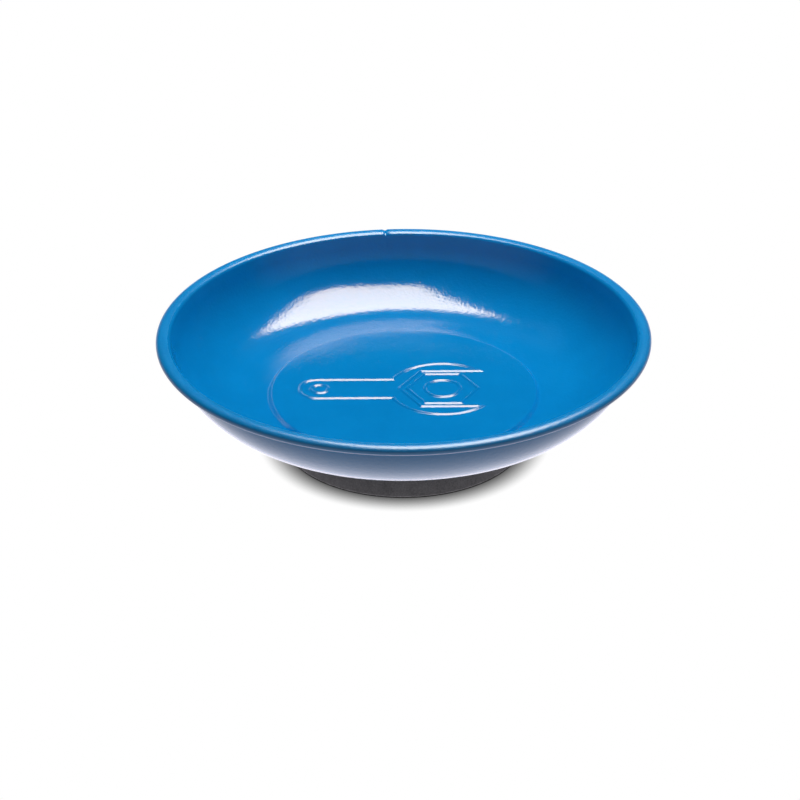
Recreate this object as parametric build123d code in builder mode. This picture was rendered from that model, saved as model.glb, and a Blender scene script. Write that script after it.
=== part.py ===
from build123d import *
import os
from math import atan2, cos, degrees, pi, radians, sin, tan

# A round magnetic parts dish: a pressed steel bowl on a rubber-covered magnet base.
# Millimetres. +Z is up, and the origin is the middle of the face that the dish stands on.
# The emblem in the floor reads from -Y. Each piece is one labelled solid in its own STEP file.

# Driving dimensions of the dish
RIM_RADIUS = 75.0
HEIGHT = 38.1
SHEET = 0.8
FLOOR_TOP = 15.3
WALL_FOOT_RADIUS = 40.0
WALL_FOOT_ANGLE = 10.0
WALL_RADIUS = 25.0
WALL_ANGLE = 74.0
BEAD_WIDTH = 4.4
BEAD_HEIGHT = 3.0
CURL_END_ANGLE = -128.0

# The raised disc in the middle of its floor
STEP_RADIUS = 40.4
STEP_HEIGHT = 1.2
STEP_ANGLE = 45.0
STEP_BROW_RADIUS = 0.9
STEP_FOOT_RADIUS = 0.9

# The raised emblem: an open-ended spanner on a nut, drawn as outlines
LINE_WIDTH = 1.0
LINE_HEIGHT = 0.4
LINE_BEVEL = 0.3
NUT_SIGN_X = 12.0
NUT_SIGN_FLATS = 19.0
NUT_SIGN_BORE = 5.4
JAW_RADIUS = 16.5
JAW_GAP = 2.0
HANDLE_END_X = -32.0
HANDLE_WIDTH = 12.0
HANGING_HOLE_RADIUS = 2.6

# The magnet base
BOOT_RADIUS = 38.0
BOOT_DRAFT = 0.5
BOOT_FLOOR = 2.4
BOOT_EDGE = 0.9
BOOT_TOP_EDGE = 0.4
BOOT_HOLE_RADIUS = 9.0
BOOT_LIP_TOP = 5.5
MAGNET_RADIUS = 34.5
MAGNET_BORE = 12.6
MAGNET_EDGE = 0.5
GASKET = 1.0
GASKET_SETBACK = 0.6
PLATE = 1.6
PLATE_RADIUS = 35.4
PLATE_EDGE = 0.3
WELL_RADIUS = 10.4
WELL_ROOF = 11.6
WELL_MOUTH_BEND = 0.8
WELL_INSIDE_BEND = 0.6

# The fastening, M5
THREAD_RADIUS = 2.5
STUD_END = 5.6
STUD_FLANGE_RADIUS = 5.0
STUD_FLANGE = 1.0
CLEARANCE_HOLE = 2.7
NUT_FLATS = 8.0
NUT_HEIGHT = 4.0
NUT_CORNER_ANGLE = 30.0
WASHER_RADIUS = 4.5
WASHER_BORE = 2.65
WASHER = 1.2
WASHER_SPLIT = 0.7
WASHER_SPLIT_ANGLE = 25.0
EDGE_BREAK = 0.35

# How close two heights are to count as one
NEAR = 0.01

# Heights that follow from these
DISC_TOP = FLOOR_TOP + STEP_HEIGHT
DISC_UNDER = DISC_TOP - SHEET
MAGNET_TOP = DISC_UNDER - GASKET
MAGNET_BOTTOM = BOOT_FLOOR + PLATE
WASHER_BOTTOM = WELL_ROOF - WASHER
NUT_BOTTOM = WASHER_BOTTOM - NUT_HEIGHT


def save(piece, name):
    piece.label = name
    export_step(piece, f"parts/{name}.step")


def step_line(brow_radius, foot_radius):
    """One face of the step round the disc: a bend down from the disc, a slope, and a bend back to level."""
    brow = CenterArc(brow_centre, brow_radius, 90, -STEP_ANGLE)
    foot = CenterArc(foot_centre, foot_radius, -90, -STEP_ANGLE)
    Line(brow @ 1, foot @ 1)


def wall_line(thickness):
    """One face of the wall: a gentle bend up from the floor that tightens to the wall's own bend."""
    CenterArc(wall_foot_centre, WALL_FOOT_RADIUS + thickness, -90, WALL_FOOT_ANGLE)
    bend = WALL_ANGLE - WALL_FOOT_ANGLE
    return CenterArc(wall_centre, WALL_RADIUS + thickness, -90 + WALL_FOOT_ANGLE, bend)


def curl_line(centre, half_width, half_height):
    """One face of the rim's curl: an ellipse from its free edge back to where the wall meets it."""
    meets_wall = pi - atan2(half_height, half_width * tan(radians(WALL_ANGLE)))
    sweep = degrees(meets_wall) - CURL_END_ANGLE
    return EllipticalCenterArc(centre, half_width, half_height, CURL_END_ANGLE, arc_size=sweep)


def ring(outer, inner, bottom, top):
    """A flat ring about Z, added to the part that is being built."""
    with BuildSketch(Plane.XY.offset(bottom)) as flat:
        Circle(outer)
        Circle(inner, mode=Mode.SUBTRACT)
    extrude(flat.sketch, amount=top - bottom)


# The emblem's two outlines, flat, before they are drawn as raised lines
with BuildSketch() as nut_sign:
    with Locations((NUT_SIGN_X, 0)):
        RegularPolygon(NUT_SIGN_FLATS / 2, 6, major_radius=False)

with BuildSketch() as spanner_sign:
    with Locations((NUT_SIGN_X, 0)):
        Circle(JAW_RADIUS)
    with Locations((HANDLE_END_X, 0)):
        Rectangle(NUT_SIGN_X - HANDLE_END_X, HANDLE_WIDTH, align=(Align.MIN, Align.CENTER))
    handle_corners = spanner_sign.vertices().group_by(Axis.X)[0]
    fillet(handle_corners, HANDLE_WIDTH / 2 - LINE_WIDTH)
    offset(nut_sign.sketch, JAW_GAP, kind=Kind.INTERSECTION, mode=Mode.SUBTRACT)
    with Locations((NUT_SIGN_X, 0)):
        mouth = NUT_SIGN_FLATS + 2 * JAW_GAP
        Rectangle(JAW_RADIUS, mouth, align=(Align.MIN, Align.CENTER), mode=Mode.SUBTRACT)

# Bowl: one sheet turned about Z, from the raised disc out to the free edge of the rim's curl
step_bends = STEP_BROW_RADIUS + STEP_FOOT_RADIUS
slope_rise = STEP_HEIGHT - step_bends * (1 - cos(radians(STEP_ANGLE)))
foot_x = STEP_RADIUS + step_bends * sin(radians(STEP_ANGLE)) + slope_rise / tan(radians(STEP_ANGLE))
brow_centre = (STEP_RADIUS, DISC_TOP - STEP_BROW_RADIUS)
foot_centre = (foot_x, FLOOR_TOP + STEP_FOOT_RADIUS)
half_bead = (BEAD_WIDTH / 2, BEAD_HEIGHT / 2)
half_hollow = (half_bead[0] - SHEET, half_bead[1] - SHEET)
bead_centre = (RIM_RADIUS - half_bead[0], HEIGHT - half_bead[1])

with BuildPart() as bowl:
    with BuildSketch(Plane.XZ):
        with BuildLine():
            bead = curl_line(bead_centre, *half_bead)
            hollow = curl_line(bead_centre, *half_hollow)
            Line(bead @ 0, hollow @ 0)
            tightening = WALL_FOOT_RADIUS - WALL_RADIUS
            wall_z = FLOOR_TOP + WALL_FOOT_RADIUS - tightening * cos(radians(WALL_FOOT_ANGLE))
            wall_end_z = wall_z - WALL_RADIUS * cos(radians(WALL_ANGLE))
            wall_end_x = (bead @ 1).X - ((bead @ 1).Y - wall_end_z) / tan(radians(WALL_ANGLE))
            wall_centre = (wall_end_x - WALL_RADIUS * sin(radians(WALL_ANGLE)), wall_z)
            wall_foot_x = wall_centre[0] - tightening * sin(radians(WALL_FOOT_ANGLE))
            wall_foot_centre = (wall_foot_x, FLOOR_TOP + WALL_FOOT_RADIUS)
            Line(wall_line(0) @ 1, bead @ 1)
            Line(wall_line(SHEET) @ 1, hollow @ 1)
            Line((foot_x, FLOOR_TOP), (wall_foot_x, FLOOR_TOP))
            Line((foot_x, FLOOR_TOP - SHEET), (wall_foot_x, FLOOR_TOP - SHEET))
            step_line(STEP_BROW_RADIUS, STEP_FOOT_RADIUS)
            step_line(STEP_BROW_RADIUS - SHEET, STEP_FOOT_RADIUS + SHEET)
            Polyline((STEP_RADIUS, DISC_TOP), (0, DISC_TOP), (0, DISC_UNDER), (STEP_RADIUS, DISC_UNDER))
        make_face()
    revolve(axis=Axis.Z)
    with BuildSketch(Plane.XY.offset(DISC_TOP)):
        for sign in (spanner_sign.sketch, nut_sign.sketch):
            offset(sign, LINE_WIDTH / 2, mode=Mode.ADD)
            offset(sign, -LINE_WIDTH / 2, mode=Mode.SUBTRACT)
        round_signs = ((NUT_SIGN_X, NUT_SIGN_BORE), (HANDLE_END_X + HANDLE_WIDTH / 2, HANGING_HOLE_RADIUS))
        for x, radius in round_signs:
            with Locations((x, 0)):
                Circle(radius + LINE_WIDTH / 2)
                Circle(radius - LINE_WIDTH / 2, mode=Mode.SUBTRACT)
    extrude(amount=LINE_HEIGHT)
    line_top = DISC_TOP + LINE_HEIGHT
    line_edges = bowl.edges().filter_by_position(Axis.Z, line_top - NEAR, line_top + NEAR)
    chamfer(line_edges, LINE_BEVEL)

# Weld stud: a flanged threaded stud, welded to the underside of the disc
with BuildPart() as weld_stud:
    with BuildSketch(Plane.XY.offset(DISC_UNDER)):
        Circle(STUD_FLANGE_RADIUS)
    extrude(amount=-STUD_FLANGE)
    with BuildSketch(Plane.XY.offset(DISC_UNDER - STUD_FLANGE)):
        Circle(THREAD_RADIUS)
    extrude(amount=STUD_END - DISC_UNDER + STUD_FLANGE)
    chamfer(weld_stud.edges().group_by(Axis.Z)[0], EDGE_BREAK)

# Gasket: a foam ring that beds the magnet against the pressed floor
with BuildPart() as magnet_gasket:
    ring(MAGNET_RADIUS - GASKET_SETBACK, MAGNET_BORE + GASKET_SETBACK, MAGNET_TOP, DISC_UNDER)

# Magnet: a ferrite ring with broken edges
with BuildPart() as ring_magnet:
    ring(MAGNET_RADIUS, MAGNET_BORE, MAGNET_BOTTOM, MAGNET_TOP)
    chamfer(ring_magnet.edges().filter_by(GeomType.CIRCLE), MAGNET_EDGE)

# Pole plate: pressed steel, flat under the magnet, with a drawn well that holds the nut
with BuildPart() as pole_plate:
    with BuildSketch(Plane.XZ) as plate_section:
        with BuildLine():
            Polyline(
                (PLATE_RADIUS, BOOT_FLOOR),
                (WELL_RADIUS, BOOT_FLOOR),
                (WELL_RADIUS, WELL_ROOF),
                (CLEARANCE_HOLE, WELL_ROOF),
                (CLEARANCE_HOLE, WELL_ROOF + PLATE),
                (WELL_RADIUS + PLATE, WELL_ROOF + PLATE),
                (WELL_RADIUS + PLATE, MAGNET_BOTTOM),
                (PLATE_RADIUS, MAGNET_BOTTOM),
                close=True,
            )
        make_face()
        corners = plate_section.vertices()
        roof_bend = corners.sort_by_distance((WELL_RADIUS + PLATE, WELL_ROOF + PLATE))[0]
        inner_bend = corners.sort_by_distance((WELL_RADIUS, WELL_ROOF))[0]
        mouth_bend = corners.sort_by_distance((WELL_RADIUS, BOOT_FLOOR))[0]
        foot_bend = corners.sort_by_distance((WELL_RADIUS + PLATE, MAGNET_BOTTOM))[0]
        fillet([roof_bend], WELL_INSIDE_BEND + PLATE)
        fillet([mouth_bend], WELL_MOUTH_BEND)
        fillet([inner_bend, foot_bend], WELL_INSIDE_BEND)
    revolve(axis=Axis.Z)
    chamfer(pole_plate.edges().filter_by(GeomType.CIRCLE).sort_by(SortBy.RADIUS)[-2:], PLATE_EDGE)

# Lock washer: a spring ring with a slanting split
with BuildPart() as lock_washer:
    ring(WASHER_RADIUS, WASHER_BORE, WASHER_BOTTOM, WELL_ROOF)
    split_plane = Plane((WASHER_RADIUS, 0, WELL_ROOF - WASHER / 2)).rotated((WASHER_SPLIT_ANGLE, 0, 0))
    cutter_height = 3 * WASHER
    with Locations(split_plane.location):
        Box(2 * WASHER_RADIUS, WASHER_SPLIT, cutter_height, mode=Mode.SUBTRACT)

# Nut: hexagonal, with turned corners and a broken edge at each mouth of its thread
with BuildPart() as hex_nut:
    with BuildSketch(Plane.XY.offset(NUT_BOTTOM)):
        RegularPolygon(NUT_FLATS / 2, 6, major_radius=False)
        Circle(THREAD_RADIUS, mode=Mode.SUBTRACT)
    extrude(amount=NUT_HEIGHT)
    chamfer(hex_nut.edges().filter_by(GeomType.CIRCLE), EDGE_BREAK)
    corner_radius = NUT_FLATS / 2 / cos(pi / 6)
    corner_drop = (corner_radius - NUT_FLATS / 2) * tan(radians(NUT_CORNER_ANGLE))
    with BuildSketch(Plane.XZ):
        with BuildLine():
            Polyline(
                (0, NUT_BOTTOM),
                (NUT_FLATS / 2, NUT_BOTTOM),
                (corner_radius, NUT_BOTTOM + corner_drop),
                (corner_radius, WASHER_BOTTOM - corner_drop),
                (NUT_FLATS / 2, WASHER_BOTTOM),
                (0, WASHER_BOTTOM),
                close=True,
            )
        make_face()
    revolve(axis=Axis.Z, mode=Mode.INTERSECT)

# Rubber boot: covers the base, grips the plate's edge in a groove and lines the mouth of the well
with BuildPart() as rubber_boot:
    with BuildSketch(Plane.XZ) as boot_section:
        with BuildLine():
            Polyline(
                (BOOT_HOLE_RADIUS, 0),
                (BOOT_RADIUS, 0),
                (BOOT_RADIUS - BOOT_DRAFT, DISC_UNDER),
                (MAGNET_RADIUS, DISC_UNDER),
                (MAGNET_RADIUS, MAGNET_BOTTOM),
                (PLATE_RADIUS, MAGNET_BOTTOM),
                (PLATE_RADIUS, BOOT_FLOOR),
                (WELL_RADIUS, BOOT_FLOOR),
                (WELL_RADIUS, BOOT_LIP_TOP),
                (BOOT_HOLE_RADIUS, BOOT_LIP_TOP),
                close=True,
            )
        make_face()
        corners = boot_section.vertices()
        standing_edge = corners.sort_by_distance((BOOT_RADIUS, 0))[0]
        top_edge = corners.sort_by_distance((BOOT_RADIUS - BOOT_DRAFT, DISC_UNDER))[0]
        hole_edges = corners.group_by(Axis.X)[0]
        fillet([standing_edge], BOOT_EDGE)
        fillet([top_edge, *hole_edges], BOOT_TOP_EDGE)
    revolve(axis=Axis.Z)

os.makedirs("parts", exist_ok=True)
save(bowl.part, "bowl")
save(weld_stud.part, "weld_stud")
save(magnet_gasket.part, "magnet_gasket")
save(ring_magnet.part, "ring_magnet")
save(pole_plate.part, "pole_plate")
save(lock_washer.part, "lock_washer")
save(hex_nut.part, "hex_nut")
save(rubber_boot.part, "rubber_boot")
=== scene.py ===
import math

import bmesh
import bpy
import numpy as np
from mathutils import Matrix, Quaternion, Vector


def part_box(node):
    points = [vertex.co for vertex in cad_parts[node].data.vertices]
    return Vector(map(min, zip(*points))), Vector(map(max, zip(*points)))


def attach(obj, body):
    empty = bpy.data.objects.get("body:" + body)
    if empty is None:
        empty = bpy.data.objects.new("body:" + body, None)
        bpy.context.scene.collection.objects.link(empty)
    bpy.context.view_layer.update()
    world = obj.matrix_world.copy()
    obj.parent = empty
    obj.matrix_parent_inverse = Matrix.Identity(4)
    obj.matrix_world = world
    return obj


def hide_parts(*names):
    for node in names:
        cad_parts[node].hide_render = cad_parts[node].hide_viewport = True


# The looks of a round magnetic parts dish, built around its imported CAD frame.
# Metres, in the frame of the CAD model: +Z up, the origin in the middle of the standing face.

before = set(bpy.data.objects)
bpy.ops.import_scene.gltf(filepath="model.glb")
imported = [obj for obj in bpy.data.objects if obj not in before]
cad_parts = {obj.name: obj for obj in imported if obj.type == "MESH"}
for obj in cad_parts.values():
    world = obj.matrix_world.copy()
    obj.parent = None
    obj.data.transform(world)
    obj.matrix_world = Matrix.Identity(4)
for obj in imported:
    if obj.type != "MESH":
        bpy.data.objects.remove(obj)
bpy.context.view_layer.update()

MM = 0.001

# Sizes read from the frame
bowl_low, bowl_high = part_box("bowl")
boot_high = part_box("rubber_boot")[1]
plate_low, plate_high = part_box("pole_plate")
magnet_low, magnet_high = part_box("ring_magnet")
stud_low, stud_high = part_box("weld_stud")
RIM_RADIUS = bowl_high.x
RIM_TOP = bowl_high.z
FLOOR_UNDER = bowl_low.z

# The pressed sheet
SHEET = 0.8 * MM
FLOOR_TOP = FLOOR_UNDER + SHEET
STEP_RADIUS = 40.4 * MM
STEP_HEIGHT = 1.2 * MM
STEP_ANGLE = math.radians(45)
STEP_BROW_RADIUS = 0.9 * MM
STEP_FOOT_RADIUS = 0.9 * MM
DISC_TOP = FLOOR_TOP + STEP_HEIGHT
WALL_FOOT_RADIUS = 40.0 * MM
WALL_FOOT_ANGLE = math.radians(10)
WALL_RADIUS = 25.0 * MM
WALL_ANGLE = math.radians(74)
BEAD_WIDTH = 4.4 * MM
BEAD_HEIGHT = 3.0 * MM
CURL_END = math.radians(-128)
NICK_ANGLE = math.radians(94.7)
NICK_HALF_WIDTH = 0.9 * MM
NICK_DEPTH = 0.45 * MM
SAME_HEIGHT = 0.01 * MM

# The paint
RIM_DULLING = 0.19
PEEL_SIZE = 1.8 * MM
PEEL_DEPTH = 0.024 * MM
GRAIN_SIZE = 0.9 * MM
GRAIN_DEPTH = 0.034 * MM

# Light
SOFTBOX_HEIGHT = 700 * MM
SOFTBOX_STRENGTH = 14.5
SOFTBOX_COLOUR = (1.0, 0.80, 0.57, 1)
LAMP_PLACE = (60 * MM, 240 * MM, SOFTBOX_HEIGHT)
LAMP_SIZE = 510 * MM
LAMP_TURN = math.radians(15)
LAMP_POWER = 7.6
FRONT_GLOW = 0.22
BACK_GLOW = 0.12
ROOM_GLOW = 0.005
WORLD_FILL = 0.05
TABLE_GLOW = 0.38

# The raised emblem, a spanner on a nut, drawn as lines with round tops
LINE_REACH = 0.8 * MM
LINE_HEIGHT = 0.4 * MM
NUT_X = 12.0 * MM
NUT_APOTHEM = 9.5 * MM
NUT_BORE = 5.4 * MM
JAW_RADIUS = 16.5 * MM
JAW_GAP = 2.0 * MM
HANDLE_END_X = -32.0 * MM
HANDLE_HALF_WIDTH = 6.0 * MM
HANDLE_CORNER = 5.0 * MM
HANGING_HOLE_X = -26.0 * MM
HANGING_HOLE_RADIUS = 2.6 * MM


# ---------------------------------------------------------------- outlines and meshes


def arc(centre, half_width, half_height, start, end, count):
    """Points along an ellipse's arc, from one angle to the other."""
    angles = np.linspace(start, end, count)
    return [(centre[0] + half_width * math.cos(a), centre[1] + half_height * math.sin(a)) for a in angles]


def new_mesh(name, vertices, faces):
    """An object from vertices and faces, smooth apart from edges that turn by more than the crease angle."""
    crease = math.radians(40)
    mesh = bpy.data.meshes.new(name)
    mesh.from_pydata([tuple(v) for v in vertices], [], faces)
    mesh.shade_smooth()
    mesh.set_sharp_from_angle(angle=crease)
    piece = bpy.data.objects.new(name, mesh)
    bpy.context.collection.objects.link(piece)
    return piece


def turned(outline, angles, closed):
    """Vertices and faces of an outline turned about Z, with its points as (radius, height).

    A point at radius 0 is a pole.
    """
    vertices = []
    rings = []
    for radius, height in outline:
        if radius == 0:
            rings.append([len(vertices)] * len(angles))
            vertices.append((0, 0, height))
            continue
        rings.append(list(range(len(vertices), len(vertices) + len(angles))))
        vertices.extend((radius * math.cos(a), radius * math.sin(a), height) for a in angles)
    faces = []
    pairs = list(zip(rings, rings[1:]))
    if closed:
        pairs.append((rings[-1], rings[0]))
    for inner, outer in pairs:
        for i in range(len(angles)):
            j = (i + 1) % len(angles)
            corners = [inner[i], outer[i], outer[j], inner[j]]
            corners = [c for k, c in enumerate(corners) if c != corners[k - 1]]
            faces.append(tuple(corners))
    return vertices, faces


# ---------------------------------------------------------------- bowl


def bead_outline(half_width, half_height):
    """One face of the rim's curl, from where the wall meets it round to its free edge."""
    centre = (RIM_RADIUS - BEAD_WIDTH / 2, RIM_TOP - BEAD_HEIGHT / 2)
    meets_wall = math.pi - math.atan2(half_height, half_width * math.tan(WALL_ANGLE))
    return arc(centre, half_width, half_height, meets_wall, CURL_END, 32)


def step_outline(sheet):
    """One face of the step round the disc.

    sheet is 0 for the upper face and the sheet's thickness for the under face.
    """
    bends = STEP_BROW_RADIUS + STEP_FOOT_RADIUS
    slope_rise = STEP_HEIGHT - bends * (1 - math.cos(STEP_ANGLE))
    foot_x = STEP_RADIUS + bends * math.sin(STEP_ANGLE) + slope_rise / math.tan(STEP_ANGLE)
    brow = (STEP_RADIUS, DISC_TOP - STEP_BROW_RADIUS)
    foot = (foot_x, FLOOR_TOP + STEP_FOOT_RADIUS)
    up = math.pi / 2
    brow_radius = STEP_BROW_RADIUS - sheet
    foot_radius = STEP_FOOT_RADIUS + sheet
    points = arc(brow, brow_radius, brow_radius, up, up - STEP_ANGLE, 7)
    return points + arc(foot, foot_radius, foot_radius, -up - STEP_ANGLE, -up, 7)


def wall_outline(sheet):
    """One face of the wall: a gentle bend up from the floor that tightens to the wall's own bend."""
    tightening = WALL_FOOT_RADIUS - WALL_RADIUS
    wall_z = FLOOR_TOP + WALL_FOOT_RADIUS - tightening * math.cos(WALL_FOOT_ANGLE)
    meets_bead = bead_outline(BEAD_WIDTH / 2, BEAD_HEIGHT / 2)[0]
    end_z = wall_z - WALL_RADIUS * math.cos(WALL_ANGLE)
    end_x = meets_bead[0] - (meets_bead[1] - end_z) / math.tan(WALL_ANGLE)
    wall_x = end_x - WALL_RADIUS * math.sin(WALL_ANGLE)
    foot = (wall_x - tightening * math.sin(WALL_FOOT_ANGLE), FLOOR_TOP + WALL_FOOT_RADIUS)
    down = -math.pi / 2
    foot_radius = WALL_FOOT_RADIUS + sheet
    wall_radius = WALL_RADIUS + sheet
    tightens = down + WALL_FOOT_ANGLE
    points = arc(foot, foot_radius, foot_radius, down, tightens, 8)
    return points + arc((wall_x, wall_z), wall_radius, wall_radius, tightens, down + WALL_ANGLE, 24)[1:]


def hexagon(x, y, apothem):
    """How far points are outside a hexagon about the nut's middle, with corners to left and right."""
    reach = np.full_like(x, -np.inf)
    for k in range(6):
        turn = math.radians(30 + 60 * k)
        reach = np.maximum(reach, (x - NUT_X) * math.cos(turn) + y * math.sin(turn))
    return reach - apothem


def emblem_height(x, y):
    """How far the floor's disc rises at each point: round-topped lines along the emblem's outlines."""
    nut = hexagon(x, y, NUT_APOTHEM)
    bore = np.hypot(x - NUT_X, y) - NUT_BORE
    hanging_hole = np.hypot(x - HANGING_HOLE_X, y) - HANGING_HOLE_RADIUS
    jaw = np.hypot(x - NUT_X, y) - JAW_RADIUS
    handle_middle = (NUT_X + HANDLE_END_X) / 2
    handle_half_length = (NUT_X - HANDLE_END_X) / 2
    across = np.abs(x - handle_middle) - handle_half_length + HANDLE_CORNER
    along = np.abs(y) - HANDLE_HALF_WIDTH + HANDLE_CORNER
    handle = np.hypot(np.maximum(across, 0), np.maximum(along, 0)) - HANDLE_CORNER
    handle += np.minimum(np.maximum(across, along), 0)
    mouth = np.maximum(NUT_X - x, np.abs(y) - NUT_APOTHEM - JAW_GAP)
    cut = np.minimum(hexagon(x, y, NUT_APOTHEM + JAW_GAP), mouth)
    spanner = np.maximum(np.minimum(jaw, handle), -cut)
    nearest = np.min(np.abs([nut, bore, hanging_hole, spanner]), axis=0)
    share = np.clip(nearest / LINE_REACH, 0, 1)
    return LINE_HEIGHT * (1 + np.cos(math.pi * share)) / 2, nearest


def refine_near_lines(mesh, reach):
    """Splits the faces of the disc's top that lie within reach of an emblem line."""
    shape = bmesh.new()
    shape.from_mesh(mesh)
    edges = [e for e in shape.edges if all(abs(v.co.z - DISC_TOP) < SAME_HEIGHT for v in e.verts)]
    middles = np.array([(e.verts[0].co + e.verts[1].co) / 2 for e in edges])
    nearest = emblem_height(middles[:, 0], middles[:, 1])[1]
    inside = np.hypot(middles[:, 0], middles[:, 1]) < STEP_RADIUS - 1.5 * MM
    close = [e for e, n, i in zip(edges, nearest, inside) if n < reach and i]
    bmesh.ops.subdivide_edges(shape, edges=close, cuts=1, use_grid_fill=True)
    shape.to_mesh(mesh)
    shape.free()


def dent_rim(points):
    """Presses a small V-shaped nick into the top of the rim's curl at the back."""
    bead_x = RIM_RADIUS - BEAD_WIDTH / 2
    bead_z = RIM_TOP - BEAD_HEIGHT / 2
    radius = np.hypot(points[:, 0], points[:, 1])
    turn = np.arctan2(points[:, 1], points[:, 0]) - NICK_ANGLE
    share = np.clip(1 - np.abs(turn) * RIM_RADIUS / NICK_HALF_WIDTH, 0, 1)
    near_bead = np.hypot(radius - bead_x, points[:, 2] - bead_z) < BEAD_WIDTH / 2 + SHEET
    crown = near_bead & (points[:, 2] > bead_z)
    points[:, 2] -= np.where(crown, NICK_DEPTH * share, 0)
    return points


def make_bowl(paint):
    """The pressed bowl in one sheet, with its rolled rim and the emblem raised in its floor."""
    disc_rings = 50
    steps = 252
    steps_in_nick = 6
    refined_reaches = (1.3 * MM, 0.9 * MM)
    crease = math.radians(50)
    disc = [(r, DISC_TOP) for r in np.linspace(0, STEP_RADIUS, disc_rings)][:-1]
    inside = disc + step_outline(0) + wall_outline(0)
    under = DISC_TOP - SHEET
    outside = [(0, under), (STEP_RADIUS / 2, under)] + step_outline(SHEET) + wall_outline(SHEET)
    bead = bead_outline(BEAD_WIDTH / 2, BEAD_HEIGHT / 2)
    hollow = bead_outline(BEAD_WIDTH / 2 - SHEET, BEAD_HEIGHT / 2 - SHEET)
    outline = inside + bead + hollow[::-1] + outside[::-1]
    nick = NICK_HALF_WIDTH / RIM_RADIUS
    angles = [2 * math.pi * i / steps for i in range(steps)]
    angles += list(np.linspace(NICK_ANGLE - nick, NICK_ANGLE + nick, steps_in_nick + 1))
    vertices, faces = turned(outline, sorted(angles), closed=False)
    piece = new_mesh("bowl_pressing", dent_rim(np.array(vertices)), faces)
    for reach in refined_reaches:
        refine_near_lines(piece.data, reach)
    points = np.array([v.co for v in piece.data.vertices])
    at_top = np.abs(points[:, 2] - DISC_TOP) < SAME_HEIGHT
    on_disc = at_top & (np.hypot(points[:, 0], points[:, 1]) < STEP_RADIUS)
    points[on_disc, 2] += emblem_height(points[on_disc, 0], points[on_disc, 1])[0]
    piece.data.vertices.foreach_set("co", points.ravel())
    piece.data.shade_smooth()
    piece.data.set_sharp_from_angle(angle=crease)
    piece.data.update()
    piece.data.materials.append(paint)
    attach(piece, "root")
    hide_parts("bowl")


# ---------------------------------------------------------------- rubber boot


def make_boot(rubber):
    """The moulded rubber cover of the base, with its groove on the plate's edge and its lip in the well."""
    radius = boot_high.x
    draft = 0.5 * MM
    edge = 0.9 * MM
    top_edge = 0.4 * MM
    hole = 9.0 * MM
    lip_top = 5.5 * MM
    well = 10.4 * MM
    floor = plate_low.z
    down = -math.pi / 2
    outline = arc((hole + top_edge, top_edge), top_edge, top_edge, math.pi, -down * 3, 5)
    outline += [(r, 0) for r in np.linspace(hole + 2 * top_edge, radius - 2 * edge, 12)]
    outline += arc((radius - edge, edge), edge, edge, down, 0, 9)
    outline += arc((radius - draft - top_edge, boot_high.z - top_edge), top_edge, top_edge, 0, -down, 6)
    outline += [
        (magnet_high.x, boot_high.z),
        (magnet_high.x, magnet_low.z),
        (plate_high.x, magnet_low.z),
        (plate_high.x, floor),
        (well, floor),
        (well, lip_top),
    ]
    outline += arc((hole + top_edge, lip_top - top_edge), top_edge, top_edge, -down, math.pi, 5)
    steps = 240
    angles = [2 * math.pi * i / steps for i in range(steps)]
    vertices, faces = turned(outline, angles, closed=True)
    piece = new_mesh("rubber_cover", vertices, faces)
    piece.data.materials.append(rubber)
    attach(piece, "root")
    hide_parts("rubber_boot")


# ---------------------------------------------------------------- weld stud


def make_stud(steel):
    """The weld stud: a flange, then a rolled thread down to a bevelled end."""
    flange_radius = stud_high.x
    flange = 1.0 * MM
    crest = 2.5 * MM
    root = 2.02 * MM
    pitch = 0.8 * MM
    bevel = 0.45 * MM
    root_land = 0.15
    flank_share = 0.7
    turns_round = 48
    rows_per_turn = 10
    top = stud_high.z - flange
    rows = round((top - stud_low.z) / pitch * rows_per_turn)
    vertices = []
    for row in range(rows + 1):
        height = top - (top - stud_low.z) * row / rows
        for i in range(turns_round):
            phase = (height / pitch - i / turns_round) % 1
            flank = min(max((abs(phase - 0.5) * 2 - root_land) / flank_share, 0), 1)
            bevelled = crest - bevel + max(height - stud_low.z, 0)
            radius = min(root + (crest - root) * flank, bevelled)
            turn = 2 * math.pi * i / turns_round
            vertices.append((radius * math.cos(turn), radius * math.sin(turn), height))
    faces = []
    for row in range(rows):
        for i in range(turns_round):
            j = (i + 1) % turns_round
            here, below = row * turns_round, (row + 1) * turns_round
            faces.append((here + i, below + i, below + j, here + j))
    faces.append(tuple(rows * turns_round + i for i in reversed(range(turns_round))))
    angles = [2 * math.pi * i / turns_round for i in range(turns_round)]
    weld_edge = 0.2 * MM
    inside_thread = 0.8 * crest
    collar = [(inside_thread, top), (flange_radius - weld_edge, top), (flange_radius, top + weld_edge)]
    collar += [(flange_radius, stud_high.z), (0, stud_high.z)]
    collar_vertices, collar_faces = turned(collar, angles, closed=False)
    first = len(vertices)
    vertices += collar_vertices
    faces += [tuple(first + c for c in face) for face in collar_faces]
    piece = new_mesh("threaded_stud", vertices, faces)
    piece.data.materials.append(steel)
    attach(piece, "root")
    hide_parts("weld_stud")


# ---------------------------------------------------------------- materials


def new_material(name):
    """A new material, with its node tree and its Principled shader."""
    material = bpy.data.materials.new(name)
    material.use_nodes = True
    return material, material.node_tree, material.node_tree.nodes["Principled BSDF"]


def add_node(tree, kind, **settings):
    """A node with these settings. A setting that names an input socket sets that socket's value."""
    node = tree.nodes.new(kind)
    for name, value in settings.items():
        label = name.replace("_", " ")
        if label in node.inputs:
            node.inputs[label].default_value = value
        else:
            setattr(node, name, value)
    return node


def places(tree):
    """The surface's own coordinates, in metres."""
    return add_node(tree, "ShaderNodeTexCoord").outputs["Object"]


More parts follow.
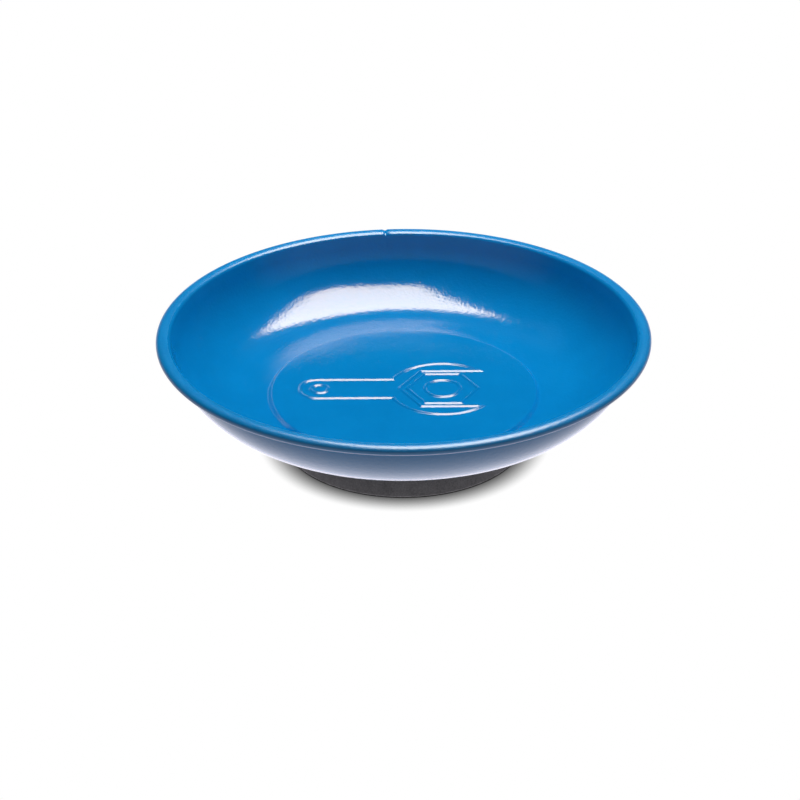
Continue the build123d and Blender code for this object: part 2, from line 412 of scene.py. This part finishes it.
def noise(tree, size, detail=2.0, roughness=0.5):
    """Noise whose blobs are about this size."""
    node = add_node(tree, "ShaderNodeTexNoise", Scale=1 / size, Detail=detail, Roughness=roughness)
    tree.links.new(places(tree), node.inputs["Vector"])
    return node.outputs["Fac"]


def colour_between(tree, factor, first, second, start=0.35, end=0.65):
    """A colour that goes from first to second as the factor goes from start to end."""
    ramp = add_node(tree, "ShaderNodeValToRGB")
    ramp.color_ramp.elements[0].position = start
    ramp.color_ramp.elements[1].position = end
    ramp.color_ramp.elements[0].color = (*first, 1)
    ramp.color_ramp.elements[1].color = (*second, 1)
    tree.links.new(factor, ramp.inputs["Fac"])
    return ramp.outputs["Color"]


def value_between(tree, factor, low, high, start=0.3, end=0.7):
    """A number that goes from low to high as the factor goes from start to end."""
    node = add_node(tree, "ShaderNodeMapRange")
    node.inputs["From Min"].default_value = start
    node.inputs["From Max"].default_value = end
    node.inputs["To Min"].default_value = low
    node.inputs["To Max"].default_value = high
    tree.links.new(factor, node.inputs["Value"])
    return node.outputs["Result"]


def bump(tree, height, depth, under=None):
    """Surface relief of this depth in metres, laid over the relief under it."""
    node = add_node(tree, "ShaderNodeBump", Strength=1.0, Distance=depth)
    tree.links.new(height, node.inputs["Height"])
    if under is not None:
        tree.links.new(under, node.inputs["Normal"])
    return node.outputs["Normal"]


def blue_paint():
    """Glossy blue enamel with a faint unevenness and the fine orange peel of a sprayed coat."""
    material, tree, shader = new_material("blue_enamel")
    shader.inputs["IOR"].default_value = 1.6
    cloud = noise(tree, 14 * MM, detail=3)
    colour = colour_between(tree, cloud, (0.0008, 0.195, 0.490), (0.0012, 0.208, 0.515))
    tree.links.new(colour, shader.inputs["Base Color"])
    flat = add_node(tree, "ShaderNodeVectorMath", operation="MULTIPLY")
    flat.inputs[1].default_value = (1, 1, 0)
    tree.links.new(places(tree), flat.inputs[0])
    from_axis = add_node(tree, "ShaderNodeVectorMath", operation="LENGTH")
    tree.links.new(flat.outputs["Vector"], from_axis.inputs[0])
    rim_start = RIM_RADIUS - BEAD_WIDTH
    rubbed = value_between(
        tree, from_axis.outputs["Value"], 0, RIM_DULLING, rim_start, rim_start + 1 * MM
    )
    roughness = add_node(tree, "ShaderNodeMath", operation="ADD")
    tree.links.new(value_between(tree, noise(tree, 2.5 * MM), 0.09, 0.13), roughness.inputs[0])
    tree.links.new(rubbed, roughness.inputs[1])
    tree.links.new(roughness.outputs["Value"], shader.inputs["Roughness"])
    peel = bump(tree, noise(tree, PEEL_SIZE, detail=1.5), PEEL_DEPTH)
    dust = bump(tree, noise(tree, GRAIN_SIZE, detail=1), GRAIN_DEPTH, under=peel)
    tree.links.new(dust, shader.inputs["Normal"])
    return material


def moulded_rubber():
    """Matt black moulded rubber with a fine even grain and a little dust in it."""
    material, tree, shader = new_material("moulded_rubber")
    shader.inputs["IOR"].default_value = 1.5
    grain = noise(tree, 0.5 * MM, detail=3, roughness=0.65)
    colour = colour_between(tree, grain, (0.044, 0.0405, 0.038), (0.098, 0.091, 0.085))
    tree.links.new(colour, shader.inputs["Base Color"])
    tree.links.new(value_between(tree, noise(tree, 3 * MM), 0.62, 0.78), shader.inputs["Roughness"])
    tree.links.new(bump(tree, grain, 0.06 * MM), shader.inputs["Normal"])
    return material


def plated_steel(name, tone, rough, spangle):
    """Zinc-plated steel: a metal with faint spangles and a fine rolled grain."""
    material, tree, shader = new_material(name)
    shader.inputs["Metallic"].default_value = 1.0
    cells = add_node(tree, "ShaderNodeTexVoronoi", Scale=1 / spangle)
    tree.links.new(places(tree), cells.inputs["Vector"])
    darker = tuple(0.86 * c for c in tone)
    colour = colour_between(tree, cells.outputs["Color"], darker, tone, 0.1, 0.9)
    tree.links.new(colour, shader.inputs["Base Color"])
    rubbed = value_between(tree, noise(tree, 1.2 * MM, detail=3), rough - 0.06, rough + 0.08)
    tree.links.new(rubbed, shader.inputs["Roughness"])
    tree.links.new(bump(tree, noise(tree, 0.25 * MM, detail=2), 0.006 * MM), shader.inputs["Normal"])
    return material


def bare_steel():
    """Bright rolled steel with a straw tint of heat near the weld."""
    material, tree, shader = new_material("bare_rolled_steel")
    shader.inputs["Metallic"].default_value = 1.0
    height = add_node(tree, "ShaderNodeSeparateXYZ")
    tree.links.new(places(tree), height.inputs["Vector"])
    heat = value_between(tree, height.outputs["Z"], 0, 1, stud_high.z - 3 * MM, stud_high.z)
    colour = colour_between(tree, heat, (0.52, 0.52, 0.53), (0.42, 0.33, 0.22), 0.2, 1.0)
    tree.links.new(colour, shader.inputs["Base Color"])
    worn = value_between(tree, noise(tree, 0.8 * MM, detail=3), 0.28, 0.45)
    tree.links.new(worn, shader.inputs["Roughness"])
    tree.links.new(bump(tree, noise(tree, 0.2 * MM), 0.005 * MM), shader.inputs["Normal"])
    return material


def sintered_ferrite():
    """Dark grey ceramic magnet with pits and the marks of grinding."""
    material, tree, shader = new_material("sintered_ferrite")
    speckle = noise(tree, 0.4 * MM, detail=4, roughness=0.7)
    colour = colour_between(tree, speckle, (0.040, 0.040, 0.044), (0.085, 0.085, 0.090))
    tree.links.new(colour, shader.inputs["Base Color"])
    tree.links.new(value_between(tree, noise(tree, 2 * MM), 0.42, 0.6), shader.inputs["Roughness"])
    marks = add_node(tree, "ShaderNodeTexWave", Scale=1 / (2.4 * MM), Distortion=3.0, Detail=3.0)
    tree.links.new(places(tree), marks.inputs["Vector"])
    ground = bump(tree, marks.outputs["Fac"], 0.004 * MM)
    tree.links.new(bump(tree, speckle, 0.02 * MM, under=ground), shader.inputs["Normal"])
    return material


def closed_cell_foam():
    """Black closed-cell foam: a matt surface of small domed cells, with painted shade in the gaps between
    them.
    """
    material, tree, shader = new_material("closed_cell_foam")
    cells = add_node(tree, "ShaderNodeTexVoronoi", Scale=1 / (0.5 * MM))
    tree.links.new(places(tree), cells.inputs["Vector"])
    # The gaps between the domed cells get a darker colour: painted shade, not a colour of the foam.
    dome, painted_shade_in_gaps = (0.045, 0.045, 0.045), (0.018, 0.018, 0.018)
    colour = colour_between(tree, cells.outputs["Distance"], dome, painted_shade_in_gaps, 0.1, 0.8)
    tree.links.new(colour, shader.inputs["Base Color"])
    tree.links.new(value_between(tree, noise(tree, 1 * MM), 0.82, 0.95), shader.inputs["Roughness"])
    tree.links.new(bump(tree, cells.outputs["Distance"], -0.08 * MM), shader.inputs["Normal"])
    return material


def dress(node, material):
    """Gives a carried-over CAD node its material."""
    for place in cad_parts[node].material_slots:
        place.material = material


# ---------------------------------------------------------------- camera, floor and light


def add_camera():
    """A long lens in front of the dish, looking down at it and held very slightly out of level."""
    data = bpy.data.cameras.new("camera")
    data.lens = 90.1
    data.sensor_width = 36
    data.clip_start = 0.01
    data.clip_end = 50
    camera = bpy.data.objects.new("camera", data)
    bpy.context.collection.objects.link(camera)
    tilt = math.radians(29.48)
    distance = 626.9 * MM
    aim = Vector((-1.2, 0, 12.5)) * MM
    out_of_level = math.radians(-0.38)
    camera.location = distance * Vector((0, -math.cos(tilt), math.sin(tilt)))
    level = (aim - camera.location).to_track_quat("-Z", "Y")
    camera.rotation_mode = "QUATERNION"
    camera.rotation_quaternion = level @ Quaternion((0, 0, 1), out_of_level)
    bpy.context.scene.camera = camera


def stage_plane(name, size, centre):
    """A flat square that belongs to the stage."""
    half = size / 2
    corners = [(-half, -half, 0), (half, -half, 0), (half, half, 0), (-half, half, 0)]
    plane = new_mesh(name, corners, [(0, 1, 2, 3)])
    plane.location = centre
    return plane


def emission_material(name):
    """A material that only gives light, with its tree and its emission node."""
    material = bpy.data.materials.new(name)
    material.use_nodes = True
    tree = material.node_tree
    tree.nodes.clear()
    light = tree.nodes.new("ShaderNodeEmission")
    output = tree.nodes.new("ShaderNodeOutputMaterial")
    tree.links.new(light.outputs["Emission"], output.inputs["Surface"])
    return material, tree, light


def seen_by(thing, camera=False, diffuse=False, glossy=False):
    """Which rays see a light or a stage plane."""
    thing.visible_camera = camera
    thing.visible_diffuse = diffuse
    thing.visible_glossy = glossy
    thing.visible_transmission = False
    thing.visible_volume_scatter = False
    thing.visible_shadow = False


def add_table(table_top, size):
    """The white table: it glows evenly, with a painted contact shadow that darkens it only close to what
    stands on it, and it is clear from below.
    """
    painted_shadow_reach = 8 * MM
    painted_shadow_depth = 3.2
    table = stage_plane("floor", size, table_top)
    material, tree, light = emission_material("white_table")
    # Painted shadow: ambient occlusion dims the table's glow near what stands on it.
    near = add_node(tree, "ShaderNodeAmbientOcclusion", Distance=painted_shadow_reach)
    near.samples = 32
    shade = add_node(tree, "ShaderNodeMath", operation="POWER")
    shade.inputs[1].default_value = painted_shadow_depth
    tree.links.new(near.outputs["AO"], shade.inputs[0])
    tree.links.new(shade.outputs["Value"], light.inputs["Strength"])
    under = add_node(tree, "ShaderNodeNewGeometry")
    clear = add_node(tree, "ShaderNodeBsdfTransparent")
    sides = add_node(tree, "ShaderNodeMixShader")
    tree.links.new(under.outputs["Backfacing"], sides.inputs["Fac"])
    tree.links.new(light.outputs["Emission"], sides.inputs[1])
    tree.links.new(clear.outputs["BSDF"], sides.inputs[2])
    tree.links.new(sides.outputs["Shader"], tree.nodes["Material Output"].inputs["Surface"])
    table.data.materials.append(material)
    seen_by(table, camera=True)


def add_mirrored_table(table_top, size):
    """The table as the dish's gloss shows it: brighter under the dish than further out."""
    inner, outer = 60 * MM, 85 * MM
    inner_strength, outer_strength = 1.6, 0.85
    mirrored = stage_plane("floor_in_reflections", size, table_top)
    material, tree, light = emission_material("table_in_reflections")
    light.inputs["Color"].default_value = (1.0, 0.98, 1.10, 1)
    distance = add_node(tree, "ShaderNodeVectorMath", operation="LENGTH")
    tree.links.new(places(tree), distance.inputs[0])
    strength = value_between(
        tree, distance.outputs["Value"], inner_strength, outer_strength, inner, outer
    )
    tree.links.new(strength, light.inputs["Strength"])
    mirrored.data.materials.append(material)
    seen_by(mirrored, glossy=True)


def add_table_light(table_top):
    """The light that the white table throws up onto the dish."""
    size = 3.0
    glow = stage_plane("floor_glow", size, table_top)
    material, _, light = emission_material("table_glow")
    light.inputs["Strength"].default_value = TABLE_GLOW
    glow.data.materials.append(material)
    seen_by(glow, diffuse=True)


def add_floor():
    """A white table just under the dish, in three planes: for the camera, for the gloss and for the light."""
    table_top = (0, 0, -0.02 * MM)
    size = 12.0
    add_table(table_top, size)
    add_mirrored_table(table_top, size)
    add_table_light(table_top)


def softbox_glow(x, y):
    """How bright the softbox's face is at each point, 0 to 1. It fades towards each edge.

    The corners run anticlockwise from the front left, and each has the fade of the edge that starts there.
    The two back edges meet in a corner that points inwards, so a point counts as inside past either of them.
    """
    corners = np.array([(-95, -240), (365, -240), (490, -75), (402, 555), (5, 355), (-245, 380)]) * MM
    fades = np.array([90, 90, 100, 60, 60, 60]) * MM
    shares = []
    for corner, following, fade in zip(corners, np.roll(corners, -1, axis=0), fades):
        edge = (following - corner) / np.hypot(*(following - corner))
        inside = edge[0] * (y - corner[1]) - edge[1] * (x - corner[0])
        shares.append(np.clip(inside / fade, 0, 1))
    front, front_right, right, back_right, back_left, left = shares
    glow = np.ones_like(x)
    for share in (front, front_right, right, left, np.maximum(back_right, back_left)):
        glow *= share * share * (3 - 2 * share)
    return glow


def add_softbox_face():
    """The softbox's face as the dish's gloss shows it: a fine grid that holds the glow at each point."""
    along = np.linspace(-300, 540, 85) * MM
    across = np.linspace(-260, 580, 85) * MM
    x, y = [grid.ravel() for grid in np.meshgrid(along, across)]
    rows, columns = len(across), len(along)
    faces = []
    for row in range(rows - 1):
        for column in range(columns - 1):
            first = row * columns + column
            faces.append((first, first + 1, first + columns + 1, first + columns))
    vertices = np.column_stack((x, y, np.full_like(x, SOFTBOX_HEIGHT)))
    panel = new_mesh("softbox", vertices, faces)
    glow = panel.data.attributes.new("glow", "FLOAT", "POINT")
    glow.data.foreach_set("value", softbox_glow(x, y))
    material, tree, light = emission_material("softbox_face")
    light.inputs["Color"].default_value = SOFTBOX_COLOUR
    brightness = add_node(tree, "ShaderNodeAttribute", attribute_name="glow")
    scaled = add_node(tree, "ShaderNodeMath", operation="MULTIPLY")
    scaled.inputs[1].default_value = SOFTBOX_STRENGTH
    tree.links.new(brightness.outputs["Fac"], scaled.inputs[0])
    tree.links.new(scaled.outputs["Value"], light.inputs["Strength"])
    panel.data.materials.append(material)
    seen_by(panel, glossy=True)


def add_softbox_lamp():
    """The softbox's light on the paint and the rubber."""
    lamp_data = bpy.data.lights.new("softbox_lamp", "AREA")
    lamp_data.shape = "SQUARE"
    lamp_data.size = LAMP_SIZE
    lamp_data.energy = LAMP_POWER
    lamp = bpy.data.objects.new("softbox_lamp", lamp_data)
    lamp.location = LAMP_PLACE
    lamp.rotation_euler = (0, 0, LAMP_TURN)
    bpy.context.collection.objects.link(lamp)
    seen_by(lamp, diffuse=True)
    lamp.visible_shadow = True


def add_surroundings():
    """A white backdrop for the camera, and a little fill for the light on every surface.

    The gloss sees a dark room instead, with a dim glow low down in front and another high up behind.
    """
    world = bpy.data.worlds.new("studio")
    bpy.context.scene.world = world
    world.use_nodes = True
    tree = world.node_tree
    background = tree.nodes["Background"]
    direction = add_node(tree, "ShaderNodeSeparateXYZ")
    tree.links.new(add_node(tree, "ShaderNodeTexCoord").outputs["Generated"], direction.inputs["Vector"])
    in_front = value_between(tree, direction.outputs["Y"], 0, 1, start=-0.1, end=-0.6)
    low_down = value_between(tree, direction.outputs["Z"], 0, FRONT_GLOW, start=0.50, end=0.42)
    behind = value_between(tree, direction.outputs["Y"], 0, 1, start=0.30, end=0.45)
    high_up = value_between(tree, direction.outputs["Z"], 0, BACK_GLOW, start=0.60, end=0.85)
    front_glow = add_node(tree, "ShaderNodeMath", operation="MULTIPLY_ADD")
    tree.links.new(in_front, front_glow.inputs[0])
    tree.links.new(low_down, front_glow.inputs[1])
    front_glow.inputs[2].default_value = ROOM_GLOW
    glow = add_node(tree, "ShaderNodeMath", operation="MULTIPLY_ADD")
    tree.links.new(behind, glow.inputs[0])
    tree.links.new(high_up, glow.inputs[1])
    tree.links.new(front_glow.outputs["Value"], glow.inputs[2])
    paths = add_node(tree, "ShaderNodeLightPath")
    dim = add_node(tree, "ShaderNodeMix", data_type="FLOAT")
    dim.inputs["A"].default_value = WORLD_FILL
    tree.links.new(glow.outputs["Value"], dim.inputs["B"])
    tree.links.new(paths.outputs["Is Glossy Ray"], dim.inputs["Factor"])
    seen = add_node(tree, "ShaderNodeMix", data_type="FLOAT")
    seen.inputs["B"].default_value = 1.0
    tree.links.new(paths.outputs["Is Camera Ray"], seen.inputs["Factor"])
    tree.links.new(dim.outputs["Result"], seen.inputs["A"])
    tree.links.new(seen.outputs["Result"], background.inputs["Strength"])
    background.inputs["Color"].default_value = (1, 1, 1, 1)


add_camera()
make_bowl(blue_paint())
make_boot(moulded_rubber())
make_stud(bare_steel())
dress("hex_nut", plated_steel("bright_zinc", (0.66, 0.67, 0.68), 0.24, 1.1 * MM))
dress("pole_plate", plated_steel("zinc_sheet", (0.60, 0.61, 0.62), 0.34, 2.2 * MM))
dress("lock_washer", plated_steel("dull_spring_steel", (0.45, 0.45, 0.46), 0.42, 0.7 * MM))
dress("ring_magnet", sintered_ferrite())
dress("magnet_gasket", closed_cell_foam())
add_floor()
add_softbox_face()
add_softbox_lamp()
add_surroundings()
bpy.context.scene.view_settings.view_transform = "Standard"
